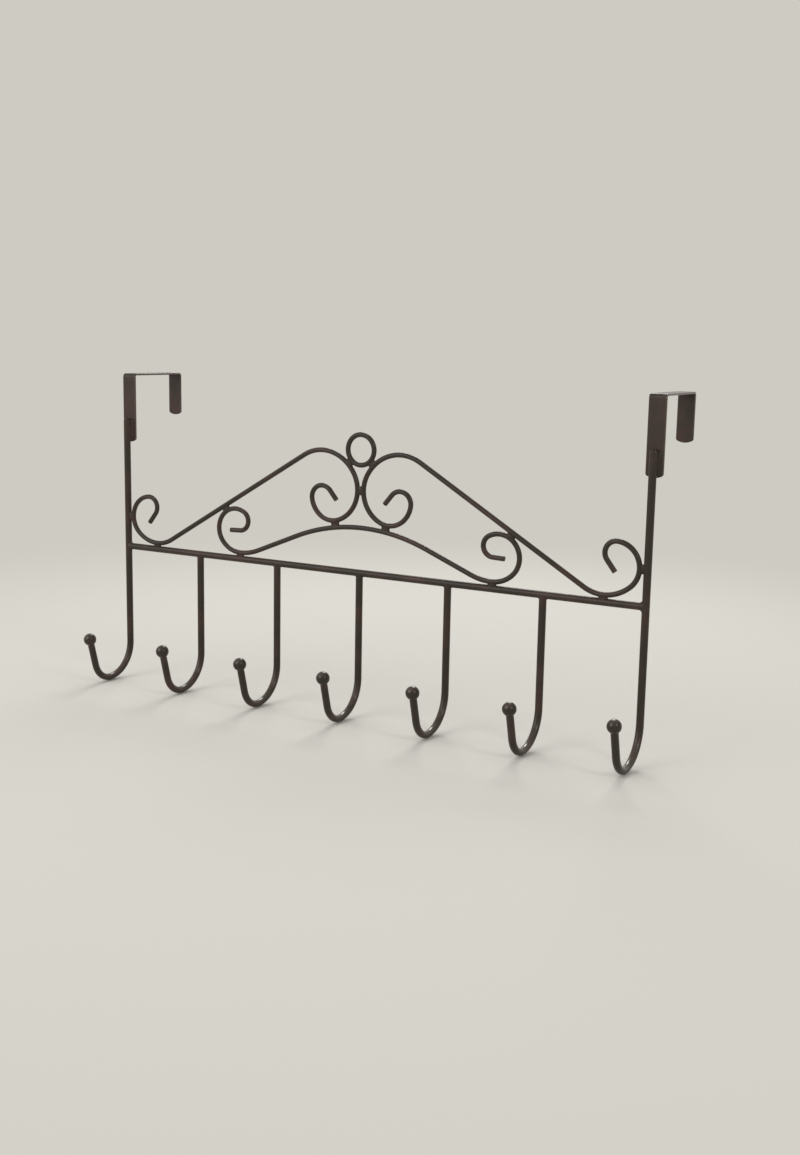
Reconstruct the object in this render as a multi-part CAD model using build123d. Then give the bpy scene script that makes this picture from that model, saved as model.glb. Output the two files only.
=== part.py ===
"""Over-door hook rack of welded round wire.

Two folded straps hang over the top of a door. An upright rod is welded to the front leg of each,
runs down past the crossbar and bends forward into the outermost hook. The other hooks hang from the
crossbar, and every hook ends in a ball. Above the crossbar two side scrolls, an arch and a small ring
are welded into a crest.

Frame: X runs along the rack, Y from the room towards the far side of the door, Z up. The origin lies
on the top edge of the door, midway between the two straps and in the middle of the door's thickness.
"""

import os
from math import asin, atan, atan2, cos, degrees, radians, sin, sqrt

from build123d import *

# Door straps, folded from flat strip
door_gap = 45.0
strap_width = 10.0
strap_thickness = 1.2
strap_bend = 1.0
strap_end_radius = 9.0
strap_end_corner = 1.5
strap_edge = 0.25
front_leg = 43.0
back_leg = 27.0

# Uprights, hooks and crossbar
hook_count = 7
hook_pitch = 60.0
rod_diameter = 4.3
rod_end_round = 1.4
bar_diameter = 4.2
bar_drop = 111.8
upright_overlap = 15.2

# Hook profile, from the crossbar down and forward to the middle of the ball
hook_drop = 84.9
hook_back_radius = 20.5
hook_front_radius = 14.0
hook_lean = 15.0
hook_tip = 18.5

# Balls, drilled and pushed on the ends of the hooks
ball_diameter = 8.0
ball_socket_depth = 3.0
ball_socket_clearance = 0.05

# Scroll wire, and the gaps that its welds bridge
wire_diameter = 3.0
wire_end_round = 0.35
foot_gap = 0.4
upright_gap = 0.9
diagonal_gap = 0.6
arch_gap = 1.2
middle_gap = 1.2
ring_gap = 0.6

# Outer curl of a side scroll: bend radii and turns from its foot to its tail
curl_foot_radius = 23.0
curl_side_radius = 13.8
curl_tip_radius = 6.6
curl_foot_turn = 42.0
curl_side_turn = 135.0
curl_tip_turn = 131.0
curl_tail = 8.0

# Big loop of a side scroll: bend radii and turns from its crown to its tail
loop_crown_radius = 25.7
loop_side_radius = 19.7
loop_low_radius = 14.5
loop_tip_radius = 7.3
loop_crown_turn = 60.0
loop_side_turn = 100.0
loop_low_turn = 102.0
loop_tip_turn = 148.0
loop_tail = 7.4

# Arch: straight flanks under a crown, and a curl at each foot
arch_half_span = 88.4
arch_rise = 23.3
arch_straight = 31.5
arch_foot_radius = 37.0
arch_curl_radius = 18.0
arch_tip_radius = 6.3
arch_curl_turn = 45.0
arch_side_turn = 165.0
arch_tip_turn = 148.0
arch_tail = 7.5

# Ring on top, measured to the middle of its wire
ring_radius = 9.0

# Weld beads
rod_gap = 0.3
fillet_leg = 1.3
fillet_width = 3.0
strap_bead_length = 10.0
strap_bead_rise = 25.0
bead_radius = 1.3
bead_length = 4.5

# Places that follow from the sizes above
rod_radius = rod_diameter / 2
bar_radius = bar_diameter / 2
wire_radius = wire_diameter / 2
ball_radius = ball_diameter / 2
half_width = hook_pitch * (hook_count - 1) / 2
hook_places = [i * hook_pitch - half_width for i in range(hook_count)]
strap_front = -door_gap / 2 - strap_thickness
rack_y = strap_front - rod_gap - rod_radius
bar_z = -bar_drop
upright_top = -front_leg + upright_overlap

# The rack's own plane: x along the crossbar and y up, measured from the middle of the crossbar
rack = Plane(origin=(0, rack_y, bar_z), x_dir=(1, 0, 0), z_dir=(0, -1, 0))


def unit(heading):
    """Direction of a heading in degrees, counted from x towards y."""
    return Vector(cos(radians(heading)), sin(radians(heading)))


def outward(heading):
    """Direction from a bend's centre to a wire that turns left there and runs along heading."""
    return unit(heading - 90)


def centre_line(start, heading, runs):
    """Edges of a bent wire. A run is (straight length, 0) or (bend radius, turn in degrees)."""
    edges = []
    for size, turn in runs:
        if turn:
            edges.append(JernArc(start, unit(heading), size, turn))
        else:
            edges.append(Line(start, start + unit(heading) * size))
        start = edges[-1] @ 1
        heading += turn
    return edges


def round_wire(edges, diameter, plane):
    """Round wire along edges that are drawn in plane."""
    path = plane * Wire(edges)
    return sweep(Plane(path @ 0, z_dir=path % 0) * Circle(diameter / 2), path=path)


def cut_wire(edges):
    """Scroll wire along edges in the rack's plane, with its two cut ends rounded over a little."""
    wire = round_wire(edges, wire_diameter, rack)
    ends = wire.faces().filter_by(GeomType.PLANE).edges()
    return fillet(ends, min(wire_end_round, 0.9 * wire_radius))


# Outer curl: its foot stands on the crossbar and its side leans on the upright
foot_y = bar_radius + foot_gap + wire_radius
curl_foot_sine = sin(radians(curl_foot_turn))
curl_reach = curl_foot_radius * curl_foot_sine + curl_side_radius * (1 - curl_foot_sine)
curl_side_x = half_width - rod_radius - upright_gap - wire_radius
curl_foot = Vector(curl_side_x - curl_reach, foot_y)
curl_centre = curl_foot + Vector(0, curl_foot_radius)
curl_side_centre = curl_centre + outward(curl_foot_turn) * (curl_foot_radius - curl_side_radius)

# Arch: a straight flank joins the crown's bend and the foot's bend without a kink
arch_slope = 2 * degrees(atan(arch_rise / (arch_half_span + arch_straight)))
flank_run = arch_straight * cos(radians(arch_slope))
crown_radius = (arch_half_span - flank_run) / sin(radians(arch_slope)) - arch_foot_radius
crown = Vector(0, foot_y + arch_rise)
crown_centre = crown - Vector(0, crown_radius)

# Big loop: its side meets the other loop in the middle and its low bend stands over the arch
loop_side_heading = 180 + loop_crown_turn
loop_low_heading = loop_side_heading + loop_side_turn
loop_side_offset = outward(loop_side_heading) * (loop_crown_radius - loop_side_radius)
loop_low_offset = loop_side_offset + outward(loop_low_heading) * (loop_side_radius - loop_low_radius)
loop_side_x = middle_gap / 2 + wire_radius + loop_side_radius
loop_centre_x = loop_side_x - loop_side_offset.X
loop_low_x = loop_centre_x + loop_low_offset.X
loop_seat = crown_radius + wire_diameter + arch_gap + loop_low_radius
loop_low_centre = Vector(loop_low_x, crown_centre.Y + sqrt(loop_seat**2 - loop_low_x**2))
loop_centre = loop_low_centre - loop_low_offset
loop_side_centre = loop_centre + loop_side_offset

# Diagonal: the straight run that touches the curl's foot bend below and the loop's crown bend above
curl_to_loop = loop_centre - curl_centre
bend_sum = curl_foot_radius + loop_crown_radius
diagonal_slope = degrees(atan2(curl_to_loop.Y, -curl_to_loop.X) + asin(bend_sum / curl_to_loop.length))
diagonal_length = sqrt(curl_to_loop.length**2 - bend_sum**2)
diagonal_normal = unit(90 - diagonal_slope)

# Curl of the arch: its side bend opens until it meets the diagonal
arch_curl_centre = Vector(arch_half_span, foot_y + arch_curl_radius)
arch_side_direction = outward(arch_curl_turn)
diagonal_distance = diagonal_normal.dot(curl_centre - arch_curl_centre) - curl_foot_radius
side_share = diagonal_normal.dot(arch_side_direction)
side_room = diagonal_distance - arch_curl_radius * side_share - wire_diameter - diagonal_gap
arch_side_radius = side_room / (1 - side_share)
arch_side_centre = arch_curl_centre + arch_side_direction * (arch_curl_radius - arch_side_radius)

# Ring: it lies in the notch between the crowns of the two loops
ring_seat = loop_crown_radius + wire_diameter + ring_gap + ring_radius
ring_centre = Vector(0, loop_centre.Y + sqrt(ring_seat**2 - loop_centre.X**2))


def end_offcut(y, leg):
    """What is cropped from the end of the strap's leg at y, to leave it a little rounded."""
    outline = Pos(0, -leg) * Rectangle(2 * strap_width, 2 * strap_end_radius)
    outline -= Pos(0, strap_end_radius - leg) * Circle(strap_end_radius)
    return extrude(Plane.XZ.offset(-y) * outline, strap_thickness, both=True)


def door_strap(x):
    """Flat strip folded over the door, with a long leg in front and a short one behind."""
    inner = door_gap / 2
    outer = inner + strap_thickness
    uncut_front = front_leg + strap_end_radius / 2
    uncut_back = back_leg + strap_end_radius / 2
    profile = make_face(
        Polyline(
            (-outer, -uncut_front),
            (-outer, strap_thickness),
            (outer, strap_thickness),
            (outer, -uncut_back),
            (inner, -uncut_back),
            (inner, 0),
            (-inner, 0),
            (-inner, -uncut_front),
            close=True,
        )
    )
    folds = profile.vertices().group_by(Axis.Y)
    profile = fillet(folds[-1], strap_bend + strap_thickness)
    folds = profile.vertices().filter_by(lambda v: v.Y == 0)
    profile = fillet(folds, strap_bend)
    strip = extrude(Plane.YZ * profile, strap_width / 2, both=True)
    middle = inner + strap_thickness / 2
    strip -= [end_offcut(-middle, front_leg), end_offcut(middle, back_leg)]
    ends = strip.edges().filter_by(Axis.Y).filter_by(lambda e: e.length < 2 * strap_thickness)
    strip = fillet(ends, min(strap_end_corner, 0.45 * strap_width))
    sides = strip.faces().filter_by(Axis.X).edges().filter_by(Axis.Y, reverse=True)
    return Pos(x, 0, 0) * fillet(sides, min(strap_edge, 0.4 * strap_thickness))


def hook_plane(x):
    """Upright plane through the hook at x: x runs forward into the room, y up from the crossbar."""
    return Plane(origin=(x, rack_y, bar_z), x_dir=(0, -1, 0), z_dir=(-1, 0, 0))


def hook_line(top):
    """Centre line of a hook whose upper end is at the height top above the crossbar."""
    return centre_line(
        Vector(0, top),
        -90,
        [
            (top + hook_drop - hook_back_radius, 0),
            (hook_back_radius, 90),
            (hook_front_radius, 90 - hook_lean),
            (hook_tip - ball_radius + ball_socket_depth, 0),
        ],
    )


def bar_core(radius):
    """Round bar of any thickness along the axis of the crossbar."""
    return Location((0, rack_y, bar_z), (0, 90, 0)) * Cylinder(radius, 2 * half_width)


def upright_core(x, radius):
    """Round bar of any thickness along the axis of the upright at x."""
    return Location((x, rack_y, bar_z)) * Cylinder(radius, 2 * bar_drop)


def middle_hook(x):
    """Hook whose upper end is coped to the underside of the crossbar."""
    return round_wire(hook_line(0), rod_diameter, hook_plane(x)) - bar_core(bar_radius + rod_gap)


def end_hook(x):
    """Upright and hook in one rod, with the upper end rounded over."""
    rod = round_wire(hook_line(upright_top - bar_z), rod_diameter, hook_plane(x))
    return fillet(rod.edges().sort_by(Axis.Z)[-1], min(rod_end_round, 0.9 * rod_radius))


def crossbar():
    """Straight bar between the uprights, with both ends coped to them."""
    return bar_core(bar_radius) - [upright_core(x, rod_radius + rod_gap) for x in (-half_width, half_width)]


def ball_tip(x):
    """Ball with a blind bore, seated on the end of the hook at x."""
    tip = hook_plane(x) * hook_line(0)[-1]
    floor = ball_radius - ball_socket_depth
    bore = Cylinder(
        rod_radius + ball_socket_clearance, ball_diameter, align=(Align.CENTER, Align.CENTER, Align.MIN)
    )
    ball = Sphere(ball_radius) - Pos(0, 0, floor) * bore
    return Plane(tip @ 1 + (tip % 1) * floor, z_dir=-(tip % 1)) * ball


def side_scroll():
    """Right-hand scroll: outer curl, diagonal and big loop in one wire."""
    curl = centre_line(
        curl_foot,
        0,
        [
            (curl_foot_radius, curl_foot_turn),
            (curl_side_radius, curl_side_turn),
            (curl_tip_radius, curl_tip_turn),
            (curl_tail, 0),
        ],
    )
    loop = centre_line(
        curl_foot,
        180,
        [
            (curl_foot_radius, -diagonal_slope),
            (diagonal_length, 0),
            (loop_crown_radius, diagonal_slope + loop_crown_turn),
            (loop_side_radius, loop_side_turn),
            (loop_low_radius, loop_low_turn),
            (loop_tip_radius, loop_tip_turn),
            (loop_tail, 0),
        ],
    )
    return cut_wire(curl + loop)


def arch_scroll():
    """Arch with a curl at each end, in one wire."""
    half = [
        (crown_radius, -arch_slope),
        (arch_straight, 0),
        (arch_foot_radius, arch_slope),
        (arch_curl_radius, arch_curl_turn),
        (arch_side_radius, arch_side_turn),
        (arch_tip_radius, arch_tip_turn),
        (arch_tail, 0),
    ]
    other_half = [(size, -turn) for size, turn in half]
    edges = centre_line(crown, 0, half) + centre_line(crown, 180, other_half)
    return cut_wire(edges)


def crest_ring():
    """Closed ring of the scroll wire."""
    return rack * Pos(ring_centre) * Torus(ring_radius, wire_radius)


def tee_bead(place, heading, run_radius, branch_radius):
    """Weld in the two corners where a branch leaves a bar along heading, before it is cut to fit."""
    side = branch_radius + fillet_leg
    depth = run_radius + fillet_leg
    corners = Pos(0, -depth / 2) * Rectangle(2 * side, depth)
    corners -= [Pos(x, -depth) * Circle(fillet_leg) for x in (-side, side)]
    return rack * Pos(place) * Rot(Z=heading + 90) * extrude(corners, fillet_width / 2, both=True)


def strap_bead(x):
    """Weld on both sides of the upright at x where it lies on its strap, before it is cut to fit."""
    toe = rod_radius + fillet_leg
    shoulder = unit(strap_bead_rise) * rod_radius
    outline = make_face(
        Polyline(
            (-toe, rod_radius + rod_gap),
            (toe, rod_radius + rod_gap),
            (shoulder.X, shoulder.Y),
            (-shoulder.X, shoulder.Y),
            close=True,
        )
    )
    middle = Location((x, rack_y, -front_leg + upright_overlap / 2))
    return middle * extrude(outline, strap_bead_length / 2, both=True)


def wire_bead(place, heading):
    """Weld bead with round ends that lies along heading between two wires, before it is cut to fit."""
    bead = Cylinder(bead_radius, bead_length)
    for end in (-bead_length / 2, bead_length / 2):
        bead += Pos(0, 0, end) * Sphere(bead_radius)
    return rack * Pos(place) * Rot(Z=heading) * Rot(Y=90) * bead


def mirrored(shape):
    """The same piece on the other side of the rack."""
    return mirror(shape, about=Plane.YZ)


def as_group(shapes):
    """One group of separate solids."""
    return Compound([solid for shape in shapes for solid in shape.solids()])


def scroll_beads(scroll, arch, ring, bar, upright):
    """Welds of the crest, cut to the wires that they join."""
    arch_axis = (loop_low_centre - crown_centre).normalized()
    ring_axis = (loop_centre - ring_centre).normalized()
    side_x = curl_side_x + wire_radius + upright_gap / 2
    right = [
        wire_bead(Vector(curl_foot.X, bar_radius + foot_gap / 2), 0) - scroll - bar,
        wire_bead(Vector(arch_half_span, bar_radius + foot_gap / 2), 0) - arch - bar,
        wire_bead(Vector(side_x, curl_side_centre.Y), 90) - scroll - upright,
        wire_bead(
            arch_side_centre + diagonal_normal * (arch_side_radius + wire_radius + diagonal_gap / 2),
            -diagonal_slope,
        )
        - arch
        - scroll,
        wire_bead(
            crown_centre + arch_axis * (crown_radius + wire_radius + arch_gap / 2),
            degrees(atan2(-arch_axis.X, arch_axis.Y)),
        )
        - arch
        - scroll,
        wire_bead(
            ring_centre + ring_axis * (ring_radius + wire_radius + ring_gap / 2),
            degrees(atan2(-ring_axis.X, ring_axis.Y)),
        )
        - ring
        - scroll,
    ]
    middle = wire_bead(Vector(0, loop_side_centre.Y), 90) - scroll - mirrored(scroll)
    return as_group(right + [mirrored(bead) for bead in right] + [middle])


def rack_pieces():
    """Every piece of the rack by name."""
    left, right = hook_places[0], hook_places[-1]
    pieces = {
        "door_strap_left": door_strap(left),
        "door_strap_right": door_strap(right),
        "end_hook_left": end_hook(left),
        "end_hook_right": end_hook(right),
        "crossbar": crossbar(),
    }
    middle_hooks = []
    for number, x in enumerate(hook_places, start=1):
        if left < x < right:
            middle_hooks.append(middle_hook(x))
            pieces[f"hook_{number}"] = middle_hooks[-1]
        pieces[f"ball_tip_{number}"] = ball_tip(x)

    scroll, arch, ring = side_scroll(), arch_scroll(), crest_ring()
    pieces["side_scroll_left"] = mirrored(scroll)
    pieces["side_scroll_right"] = scroll
    pieces["arch_scroll"] = arch
    pieces["crest_ring"] = ring

    bar = pieces["crossbar"]
    ends = [(left, 0, pieces["end_hook_left"]), (right, 180, pieces["end_hook_right"])]
    pieces["strap_welds"] = as_group([strap_bead(x) - rod for x, _, rod in ends])
    pieces["bar_end_welds"] = as_group(
        [tee_bead(Vector(x, 0), heading, rod_radius, bar_radius) - rod - bar for x, heading, rod in ends]
    )
    pieces["hook_welds"] = as_group(
        [
            tee_bead(Vector(x, 0), -90, bar_radius, rod_radius) - bar - hook
            for x, hook in zip(hook_places[1:-1], middle_hooks)
        ]
    )
    pieces["scroll_welds"] = scroll_beads(scroll, arch, ring, bar, pieces["end_hook_right"])
    return pieces


os.makedirs("parts", exist_ok=True)
for name, piece in rack_pieces().items():
    piece.label = name
    export_step(piece, f"parts/{name}.step")
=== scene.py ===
"""Over-door hook rack: the finish and the weld beads of a welded wire rack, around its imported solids.

Lengths are in metres. X runs along the rack, Y from the room towards the far side of the door, Z up.
"""

from math import asin, copysign, cos, pi, radians, sin, sqrt

import bmesh
import bpy
import numpy as np
from mathutils import Matrix, Vector, noise


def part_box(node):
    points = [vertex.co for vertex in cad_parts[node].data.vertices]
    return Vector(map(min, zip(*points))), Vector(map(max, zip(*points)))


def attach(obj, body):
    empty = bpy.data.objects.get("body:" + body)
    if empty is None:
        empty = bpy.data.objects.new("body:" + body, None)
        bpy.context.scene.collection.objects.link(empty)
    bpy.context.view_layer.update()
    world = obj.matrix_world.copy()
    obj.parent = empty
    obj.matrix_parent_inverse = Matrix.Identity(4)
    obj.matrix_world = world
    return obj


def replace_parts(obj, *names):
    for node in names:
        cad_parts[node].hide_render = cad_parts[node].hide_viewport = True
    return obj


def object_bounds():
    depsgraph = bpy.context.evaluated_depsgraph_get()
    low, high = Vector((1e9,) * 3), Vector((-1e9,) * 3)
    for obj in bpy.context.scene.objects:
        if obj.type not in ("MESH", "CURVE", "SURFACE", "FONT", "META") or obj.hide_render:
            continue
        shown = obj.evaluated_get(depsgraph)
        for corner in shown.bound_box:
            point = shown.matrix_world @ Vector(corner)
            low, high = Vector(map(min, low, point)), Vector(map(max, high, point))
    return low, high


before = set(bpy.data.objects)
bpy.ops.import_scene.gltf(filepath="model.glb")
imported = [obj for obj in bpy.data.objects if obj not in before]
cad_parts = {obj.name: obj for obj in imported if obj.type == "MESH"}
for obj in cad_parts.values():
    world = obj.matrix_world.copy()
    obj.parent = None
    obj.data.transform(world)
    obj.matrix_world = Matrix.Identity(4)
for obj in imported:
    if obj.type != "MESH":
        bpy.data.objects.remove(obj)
solid_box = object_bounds()


# Door straps: mild steel strip, cropped to rounded ends and folded twice on a brake to hook over a door.
# Like the whole rack they carry a dark bronze enamel, sprayed on and baked to a half gloss.


class Shade:
    """One socket among a material's nodes. Arithmetic on shades adds the Math nodes that work it out.

    A shade with no socket is where a tree starts: its add gives the first nodes.
    """

    def __init__(self, tree, socket=None):
        self.tree = tree
        self.socket = socket

    def add(self, kind, sockets, output=0, **settings):
        """Adds a node of any kind: its settings first, then the values or links of its sockets."""
        node = self.tree.nodes.new(kind)
        for setting, value in settings.items():
            setattr(node, setting, value)
        for key, value in sockets.items():
            if isinstance(value, Shade):
                value.feed(node, key)
            else:
                node.inputs[key].default_value = value
        return Shade(self.tree, node.outputs[output])

    def feed(self, node, key):
        """Links this shade to a node's socket."""
        self.tree.links.new(self.socket, node.inputs[key])

    def maths(self, operation, *values):
        """A Math node on shades and numbers."""
        return self.add("ShaderNodeMath", dict(enumerate(values)), operation=operation)

    def __add__(self, other):
        return self.maths("ADD", self, other)

    def __sub__(self, other):
        return self.maths("SUBTRACT", self, other)

    def __rsub__(self, other):
        return self.maths("SUBTRACT", other, self)

    def __mul__(self, other):
        return self.maths("MULTIPLY", self, other)

    def __abs__(self):
        return self.maths("ABSOLUTE", self)

    __radd__ = __add__
    __rmul__ = __mul__

    def rise(self, low, high):
        """0 below low and 1 above high, with a soft step between; high may be the lower of the two."""
        return self.add("ShaderNodeMapRange", {0: self, 1: low, 2: high}, interpolation_type="SMOOTHSTEP")

    def tint(self, plain, tinted):
        """A colour that goes from plain to tinted as this shade goes from 0 to 1."""
        return self.add("ShaderNodeMix", {0: self, 6: plain, 7: tinted}, output=2, data_type="RGBA")

    def grain(self, size, detail):
        """Noise over a place, with features of about this size and finer ones on them."""
        return self.add("ShaderNodeTexNoise", {"Vector": self, "Scale": 1 / size, "Detail": detail})

    def stretched(self, stretch):
        """A place whose three axes are each stretched by a factor."""
        return self.add("ShaderNodeVectorMath", {0: self, 1: stretch}, operation="MULTIPLY")

    def part(self, axis):
        """The X, Y or Z of a place or direction."""
        return self.add("ShaderNodeSeparateXYZ", {0: self}, output=axis)


def paint(red, green, blue):
    """A colour as a paint card shows it, 0 to 255, for a shader."""
    levels = [level / 255 for level in (red, green, blue)]
    return [x / 12.92 if x < 0.04045 else ((x + 0.055) / 1.055) ** 2.4 for x in levels] + [1.0]


OLIVE_BROWN = paint(48, 42, 34)
RUSSET_BROWN = paint(63, 46, 41)
BRONZE_FLECK = paint(92, 68, 52)
# Lighter bronze of worn enamel, which on hook bends and ball tops is partly a painted highlight
RUBBED_AND_HIGHLIGHT_BRONZE = paint(86, 66, 53)

# Sizes of what shows in the coat
mottle_size = 0.016
cloud_size = 0.007
rub_mark_size = 0.004
peel_size = 0.0011
fleck_size = 0.00035
grit_size = 0.0003


def bronze_enamel(name, wear_and_highlight, dullness, lines=(1.0, 1.0, 1.0), peel=22e-6, russet=0.45):
    """Bronze enamel on steel: mottled brown, a fine metallic fleck, orange peel, and a glossier, lighter
    bronze where worn, which is partly a painted highlight.

    The second argument gives the share of wear at a place that faces a given way. There the enamel is
    tinted a lighter bronze:
    worn enamel, and on the hook bends and ball tops partly a painted highlight. dullness is the roughness
    of the rest.
    lines squeezes the orange peel into the fine lines that rolled strip and drawn rod keep under a thin
    coat. peel is its depth, and russet the share of the redder brown.
    """
    coat = bpy.data.materials.new(name)
    coat.use_nodes = True
    shader = coat.node_tree.nodes["Principled BSDF"]
    start = Shade(coat.node_tree)
    place = start.add("ShaderNodeTexCoord", {}, output="Object")
    facing = start.add("ShaderNodeNewGeometry", {}, output="Normal")

    mottle_edge = 0.14
    mottle = place.grain(mottle_size, 3).rise(1 - russet - mottle_edge, 1 - russet + mottle_edge)
    fleck = place.grain(fleck_size, 1).rise(0.58, 0.72)
    # Share of wear at each place, on hook bends and ball tops partly a painted highlight
    polish_and_highlight = wear_and_highlight(place, facing)
    bare_and_highlight = polish_and_highlight * place.grain(rub_mark_size, 4).rise(0.3, 0.75)
    fleck_strength = 0.22
    wear_and_highlight_strength = 0.6
    colour = mottle.tint(OLIVE_BROWN, RUSSET_BROWN)
    colour = (fleck * fleck_strength).tint(colour, BRONZE_FLECK)
    # Tints worn places a lighter bronze: worn enamel, and on hook bends and ball tops partly a painted
    # highlight
    (bare_and_highlight * wear_and_highlight_strength).tint(colour, RUBBED_AND_HIGHLIGHT_BRONZE).feed(shader, "Base Color")

    cloudiness = 0.22
    rub_shine = 0.12
    cloud = place.grain(cloud_size, 3) - 0.5
    (dullness + cloud * cloudiness - bare_and_highlight * rub_shine).feed(shader, "Roughness")
    olive_gloss = 0.03
    russet_gloss = 0.05
    rubbed_gloss = 0.8
    (olive_gloss + mottle * russet_gloss + polish_and_highlight * rubbed_gloss).feed(shader, "Coat Weight")
    shader.inputs["Coat Roughness"].default_value = 0.1
    shader.inputs["Specular IOR Level"].default_value = 0.24

    grit_share = 0.25
    skin = place.stretched(lines).grain(peel_size, 2) + place.grain(grit_size, 1) * grit_share
    bump = place.add("ShaderNodeBump", {"Height": skin, "Distance": peel, "Strength": 1.0})
    bump.feed(shader, "Normal")
    return coat


def finish_nodes(coat, *names):
    """Gives the solids of these pieces their coat."""
    for name in names:
        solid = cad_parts[name].data
        solid.materials.clear()
        solid.materials.append(coat)


strap_low, strap_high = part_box("door_strap_right")
strap_middle = (strap_low.x + strap_high.x) / 2
strap_half_width = (strap_high.x - strap_low.x) / 2
worn_edge = 0.0009
lengthwise_roll_lines = (1.0, 0.25, 0.12)


def strap_edges(place, facing):
    """The long edges of both straps, where folding and handling thin the coat."""
    from_middle = abs(abs(place.part("X")) - strap_middle)
    return from_middle.rise(strap_half_width - worn_edge, strap_half_width)


strap_enamel = bronze_enamel(
    "strap_enamel", strap_edges, dullness=0.36, lines=lengthwise_roll_lines, russet=0.56
)
finish_nodes(strap_enamel, "door_strap_left", "door_strap_right")


# End hooks: one drawn steel rod each, from the strap's front leg down past the crossbar and forward into
# the outermost hook. The enamel inside the bend is polished by the loops and hangers that slide over it,
# and its upper side is tinted lighter, partly as wear and partly as a painted highlight.

bend_low, bend_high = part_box("hook_4")
rubbed_height = 0.028
upright_draw_lines = (1.0, 1.0, 0.2)


def hook_bend_wear_and_highlight(place, facing):
    """The upper side of each bend, where things hang, tinted lighter partly as wear and partly as a
    painted highlight.
    """
    # Upward faces low in the bend turn lighter: partly wear, partly a painted highlight
    upper_side = facing.part("Z").rise(0.15, 0.8)
    return upper_side * place.part("Z").rise(bend_low.z + rubbed_height, bend_low.z)


rod_enamel = bronze_enamel("rod_enamel", hook_bend_wear_and_highlight, dullness=0.32, lines=upright_draw_lines)
finish_nodes(rod_enamel, "end_hook_left", "end_hook_right")


# Crossbar: a straight length of drawn rod whose ends are coped to the uprights and welded to them.
# Its draw lines run along it, and what hangs on the hooks doesn't reach it.

crossbar_draw_lines = (0.2, 1.0, 1.0)


def unrubbed(place, facing):
    """No wear to speak of."""
    return 0.0


bar_enamel = bronze_enamel("bar_enamel", unrubbed, dullness=0.33, lines=crossbar_draw_lines)
finish_nodes(bar_enamel, "crossbar")


# Middle hooks: five lengths of the same rod as the uprights, bent round the same former as the end hooks.
# Their tops are coped to the underside of the crossbar and welded there, evenly spaced.

finish_nodes(rod_enamel, *[f"hook_{number}" for number in range(2, 7)])


# Balls: turned steel, drilled and pushed on the hooks' tips before coating, so that the enamel gathers in
# the corner between ball and rod. Their tops and upper fronts are polished and tinted lighter, partly as
# wear from what is put on the hooks and partly as a painted highlight.

ball_names = [f"ball_tip_{number}" for number in range(1, 8)]


def ball_top_wear_and_highlight(place, facing):
    """The top of each ball and the upper part of its front, tinted lighter partly as wear and partly as a
    painted highlight.
    """
    # Faces up and towards the room turn lighter: partly wear, partly a painted highlight
    up_and_forward = facing.part("Z") - 0.5 * facing.part("Y")
    return up_and_forward.rise(0.65, 1.15)


ball_enamel = bronze_enamel("ball_enamel", ball_top_wear_and_highlight, dullness=0.26, peel=14e-6, russet=0.28)
finish_nodes(ball_enamel, *ball_names)


def tube(rings, closed):
    """Corners and faces of a tube through rings of points, closed on itself or with a flat at each end."""
    sides = len(rings[0])
    corners = [corner for ring in rings for corner in ring]
    faces = []
    for ring in range(len(rings) - (0 if closed else 1)):
        here, there = ring * sides, (ring + 1) % len(rings) * sides
        for side in range(sides):
            beside = (side + 1) % sides
            faces.append((here + side, here + beside, there + beside, there + side))
    if not closed:
        faces.append(tuple(range(sides)))
        faces.append(tuple(range(len(corners) - sides, len(corners))))
    return corners, faces


def round_turns(count):
    """This many angles, evenly round a circle."""
    return np.linspace(0, 2 * pi, count, endpoint=False)


def coated_piece(name, tubes, coat):
    """One smooth piece of these tubes, on the rack's only body."""
    corners, faces = [], []
    for tube_corners, tube_faces in tubes:
        faces += [tuple(len(corners) + corner for corner in face) for face in tube_faces]
        corners += tube_corners
    mesh = bpy.data.meshes.new(name)
    mesh.from_pydata(corners, [], faces)
    shape = bmesh.new()
    shape.from_mesh(mesh)
    bmesh.ops.recalc_face_normals(shape, faces=shape.faces)
    shape.to_mesh(mesh)
    shape.free()
    mesh.shade_smooth()
    mesh.materials.append(coat)
    piece = bpy.data.objects.new(name, mesh)
    bpy.context.scene.collection.objects.link(piece)
    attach(piece, "root")
    return piece


ALONG_X, ALONG_Y, ALONG_Z = Vector((1, 0, 0)), Vector((0, 1, 0)), Vector((0, 0, 1))
rod_radius = (bend_high.x - bend_low.x) / 2
tip_lean = radians(15)
tip_axis = ALONG_Z * cos(tip_lean) - ALONG_Y * sin(tip_lean)
tip_side = ALONG_X.cross(tip_axis)

# The hollow's radius is a little over the one that just meets rod and ball, so its rims end in the metal
corner_fill = 0.0009
hollow_radius = 1.03 * corner_fill
hidden_share = 0.8
necks = []
for name in ball_names:
    low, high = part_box(name)
    ball_radius = (high.x - low.x) / 2
    ball_middle = Vector(((low.x + high.x) / 2, (low.y + high.y) / 2, high.z - ball_radius))
    drop = sqrt((ball_radius + corner_fill) ** 2 - (rod_radius + corner_fill) ** 2)
    swing = asin((rod_radius + corner_fill) / (ball_radius + corner_fill))
    inside = hidden_share * rod_radius
    section = [(inside, -drop), (inside, -hidden_share * drop)]
    for angle in np.linspace(pi / 2 - swing, 0, 9):
        out = rod_radius + corner_fill - hollow_radius * cos(angle)
        section.append((out, hollow_radius * sin(angle) - drop))
    rings = []
    for turn in round_turns(48):
        spoke = ALONG_X * cos(turn) + tip_side * sin(turn)
        rings.append([ball_middle + tip_axis * up + spoke * out for out, up in section])
    necks.append(tube(rings, True))
coated_piece("ball_necks", necks, ball_enamel)


# Scrolls, arch and ring: thinner soft wire, curled cold round formers, with ends cut off square.
# They lean on the crossbar, the uprights and each other, and short welds hold them there.

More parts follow.
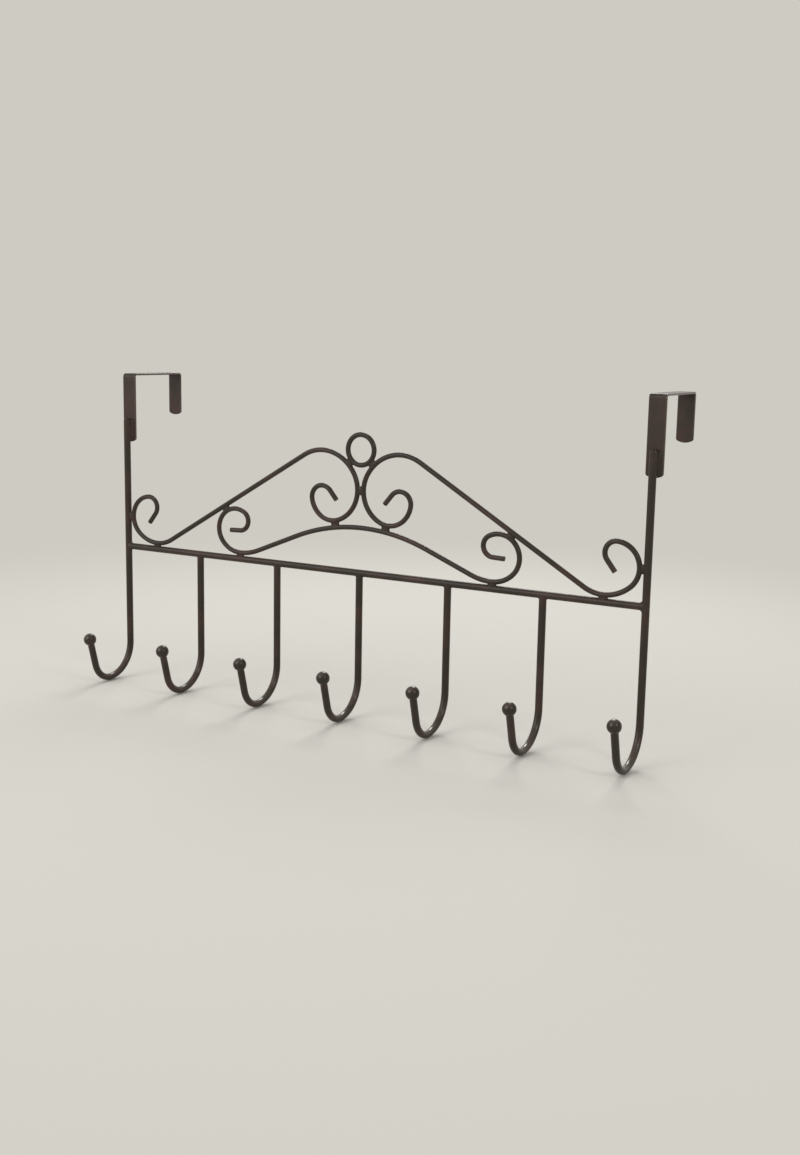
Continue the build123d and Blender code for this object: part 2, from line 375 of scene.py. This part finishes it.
scroll_enamel = bronze_enamel("scroll_enamel", unrubbed, dullness=0.33, peel=18e-6)
finish_nodes(scroll_enamel, "side_scroll_left", "side_scroll_right", "arch_scroll", "crest_ring")


# Weld beads: pads of filler that tie rods, wires and straps together, drawn smooth by the heat and a
# little lumpy under the coat. They take the place of the plain beads of the solids and run into the
# metal around them.

weld_enamel = bronze_enamel("weld_enamel", unrubbed, dullness=0.42, peel=30e-6)
lumps_per_metre = 700
lump_height = 0.00008


def lumpy(corners, faces):
    """A tube with the low lumps that filler keeps as it cools."""
    lumps = [noise.noise_vector(corner * lumps_per_metre) * lump_height for corner in corners]
    return [corner + lump for corner, lump in zip(corners, lumps)], faces


def hollow_curve(start, corner, end):
    """Points of the hollow flank of a bead, from start towards corner and round to end."""
    shares = np.linspace(0, 1, 9)
    return [start.lerp(corner, share).lerp(corner.lerp(end, share), share) for share in shares]


def swollen(share, roundness):
    """A sine or cosine pushed outwards, which turns an ellipse into a rounded bar's section."""
    return copysign(abs(share) ** roundness, share)


def bridge_bead(middle, along, half_length, half_height):
    """A pad between two wires that run side by side, waisted between them."""
    half_breadth = 0.0017
    waist_length = 0.76
    waist_height = 0.84
    roundness = 0.7
    across = along.cross(ALONG_Y)
    rings = []
    for share in np.linspace(-1, 1, 17):
        length = half_length * (waist_length + (1 - waist_length) * share**2)
        height = half_height * (waist_height + (1 - waist_height) * share**2)
        ring = []
        for turn in round_turns(28):
            forward = along * swollen(cos(turn), roundness) * length
            out = ALONG_Y * swollen(sin(turn), roundness) * height
            ring.append(middle + across * half_breadth * share + forward + out)
        rings.append(ring)
    return lumpy(*tube(rings, False))


def corner_bead(foot, length, side, gap, leg):
    """Filler between an upright rod and the flat face behind it, on one side, with ends that run out.

    foot is the lower end on the rod's axis, gap lies between the rod and the face, and leg is how far the
    filler spreads over the face. A section is drawn with x out from the rod's axis and y back to the face.
    """
    face = rod_radius + gap
    sunk = 0.00015
    root_angle = 0.7
    climb_angle = 0.8
    run_out_share = 0.998
    # The hollow flank bends towards corner, and the hidden points close a section inside the metal
    corner = Vector((1.04 * rod_radius, 0.82 * face))
    hidden = [Vector((0.5 * rod_radius, 0.7 * rod_radius)), Vector((0.6 * rod_radius, face + 2 * sunk))]
    rings = []
    for share in np.linspace(-1, 1, 41):
        fill = sqrt(1 - run_out_share * share**4)
        place = foot + ALONG_Z * length * (1 + share) / 2
        angle = root_angle - climb_angle * fill
        on_rod = Vector((rod_radius * cos(angle), rod_radius * sin(angle)))
        on_face = Vector((0.8 * rod_radius + leg * fill, face + sunk))
        section = hidden + hollow_curve(on_face, corner, on_rod)
        rings.append([place + ALONG_X * side * out + ALONG_Y * back for out, back in section])
    return lumpy(*tube(rings, False))


def fillet_bead(place, run, branch, run_radius, branch_radius, leg):
    """Filler round a rod, the branch, where it leaves another, the run.

    place is where their axes meet, run and branch are their directions, and leg is how far the filler
    spreads over each.
    """
    side = run.cross(branch)
    sunk = 0.0001
    widest = 0.97 * run_radius
    rings = []
    for turn in round_turns(72):
        spoke = run * cos(turn) + side * sin(turn)
        beside = max(-widest, min(widest, branch_radius * sin(turn)))
        depth = sqrt(run_radius**2 - beside**2)
        hidden = place + spoke * 0.6 * branch_radius + branch * 0.7 * depth
        corner = place + spoke * branch_radius + branch * depth
        on_branch = place + spoke * (branch_radius - sunk) + branch * (depth + leg)
        on_run = place + run * (branch_radius + leg) * cos(turn) + side * beside + branch * (depth - sunk)
        rings.append([hidden] + hollow_curve(on_branch, corner, on_run))
    return lumpy(*tube(rings, True))


def bead_places(node):
    """Middle, direction and half length of each separate bead among a node's solids."""
    shape = bmesh.new()
    shape.from_mesh(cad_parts[node].data)
    bmesh.ops.remove_doubles(shape, verts=shape.verts, dist=1e-6)
    left = set(shape.verts)
    while left:
        bead, reached = set(), [next(vertex for vertex in shape.verts if vertex in left)]
        while reached:
            vertex = reached.pop()
            if vertex in left:
                left.discard(vertex)
                bead.add(vertex)
                reached += [edge.other_vert(vertex) for edge in vertex.link_edges]
        corners = np.array([vertex.co for vertex in bead])
        middle = (corners.min(0) + corners.max(0)) / 2
        along = np.linalg.svd(corners - corners.mean(0), full_matrices=False)[2][0]
        reach = (corners - middle) @ along
        yield Vector(middle), Vector(along), (reach.max() - reach.min()) / 2
    shape.free()


strap_corners = []
strap_leg = 0.0022
run_out = 0.0006
for name in ("end_hook_left", "end_hook_right"):
    low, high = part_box(name)
    foot = Vector(((low.x + high.x) / 2, high.y - rod_radius, strap_low.z + run_out))
    length = high.z - run_out - foot.z
    gap = strap_low.y - high.y
    for side in (-1, 1):
        strap_corners.append(corner_bead(foot, length, side, gap, strap_leg))
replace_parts(coated_piece("strap_weld_beads", strap_corners, weld_enamel), "strap_welds")

bar_low, bar_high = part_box("crossbar")
bar_axis = (bar_low + bar_high) / 2
bar_radius = (bar_high.z - bar_low.z) / 2
bar_ends = []
bar_end_leg = 0.0020
for name, inward in (("end_hook_left", ALONG_X), ("end_hook_right", -ALONG_X)):
    low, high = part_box(name)
    foot = Vector(((low.x + high.x) / 2, bar_axis.y, bar_axis.z))
    bar_ends.append(fillet_bead(foot, ALONG_Z, inward, rod_radius, bar_radius, bar_end_leg))
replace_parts(coated_piece("bar_end_weld_beads", bar_ends, weld_enamel), "bar_end_welds")

hook_tops = []
hook_leg = 0.0014
for number in range(2, 7):
    low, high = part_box(f"hook_{number}")
    top = Vector(((low.x + high.x) / 2, bar_axis.y, bar_axis.z))
    hook_tops.append(fillet_bead(top, ALONG_X, -ALONG_Z, bar_radius, rod_radius, hook_leg))
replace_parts(coated_piece("hook_weld_beads", hook_tops, weld_enamel), "hook_welds")

bridge_half_height = 0.0013
bridges = [bridge_bead(*place, bridge_half_height) for place in bead_places("scroll_welds")]
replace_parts(coated_piece("scroll_weld_beads", bridges, weld_enamel), "scroll_welds")


# Studio: a pale floor that fades into a pale backdrop, soft lamps overhead and to both sides, and a camera
# that looks down on the rack from its right.

floor_gap = 0.0003
floor_radius = 3.0
fade_start, fade_end = 0.28, 0.75
bpy.ops.mesh.primitive_circle_add(
    vertices=96, radius=floor_radius, fill_type="NGON", location=(0, 0, solid_box[0].z - floor_gap)
)
floor = bpy.context.object
floor.name = "studio_floor"

scene = bpy.context.scene
scene.view_settings.view_transform = "Standard"

BACKDROP = paint(206, 203, 195)
FLOOR_GREY = paint(214, 211, 203)
SOFT_AIR = [0.58, 0.58, 0.58, 1.0]

floor_paint = bpy.data.materials.new("studio_floor_paint")
floor_paint.use_nodes = True
floor_nodes = floor_paint.node_tree.nodes
floor_shader = floor_nodes["Principled BSDF"]
floor_shader.inputs["Base Color"].default_value = FLOOR_GREY
floor_shader.inputs["Roughness"].default_value = 0.9
floor_shader.inputs["Specular IOR Level"].default_value = 0.1
painted = Shade(floor_paint.node_tree, floor_shader.outputs[0])
clear = painted.add("ShaderNodeBsdfTransparent", {})
floor_place = painted.add("ShaderNodeTexCoord", {}, output="Object")
reach = painted.add("ShaderNodeVectorMath", {0: floor_place}, output="Value", operation="LENGTH")
faded = painted.add("ShaderNodeMixShader", {0: reach.rise(fade_start, fade_end), 1: painted, 2: clear})
faded.feed(floor_nodes["Material Output"], "Surface")
floor.data.materials.append(floor_paint)

world = bpy.data.worlds.new("studio_air")
scene.world = world
world.use_nodes = True
air = world.node_tree.nodes["Background"]
air.inputs["Strength"].default_value = 1.0
rays = Shade(world.node_tree)
seen = rays.add("ShaderNodeLightPath", {}, output="Is Camera Ray")
for kind in ("Is Glossy Ray", "Is Transmission Ray"):
    seen = seen + rays.add("ShaderNodeLightPath", {}, output=kind)
seen.rise(0.0, 1.0).tint(SOFT_AIR, BACKDROP).feed(air, "Color")

rack_middle = (solid_box[0] + solid_box[1]) / 2


def soft_lamp(name, place, width, length, power):
    """A soft box that points at the middle of the rack, length upright, and stays out of the picture."""
    light = bpy.data.lights.new(name, "AREA")
    light.shape = "RECTANGLE"
    light.size = width
    light.size_y = length
    light.energy = power
    lamp = bpy.data.objects.new(name, light)
    lamp.location = place
    lamp.rotation_euler = (rack_middle - Vector(place)).to_track_quat("-Z", "Y").to_euler()
    lamp.visible_camera = False
    scene.collection.objects.link(lamp)


soft_lamp("lamp_above", (-0.32, 0.9, 0.8), width=0.6, length=0.4, power=6.5)
soft_lamp("lamp_left", (-0.75, -1.3, 0.6), width=1.3, length=1.3, power=11.0)
soft_lamp("lamp_right", (1.3, -0.5, 0.6), width=0.4, length=0.4, power=4.0)

camera_place = Vector((0.4249, -0.7123, 0.0273))
camera_turn = radians(30.04)
camera_drop = radians(9.94)
camera_roll = radians(1.07)
image_height = 1155
focal_pixels = 1367.6
level = Vector((cos(camera_turn), sin(camera_turn), 0))
onward = Vector((-sin(camera_turn), cos(camera_turn), 0))
ahead = onward * cos(camera_drop) - ALONG_Z * sin(camera_drop)
right = level * cos(camera_roll) + level.cross(ahead) * sin(camera_roll)
eye = bpy.data.cameras.new("studio_camera")
eye.lens = focal_pixels / image_height * eye.sensor_width
camera = bpy.data.objects.new("studio_camera", eye)
turned = Matrix((right, right.cross(ahead), -ahead)).transposed().to_4x4()
camera.matrix_world = Matrix.Translation(camera_place) @ turned
scene.collection.objects.link(camera)
scene.camera = camera
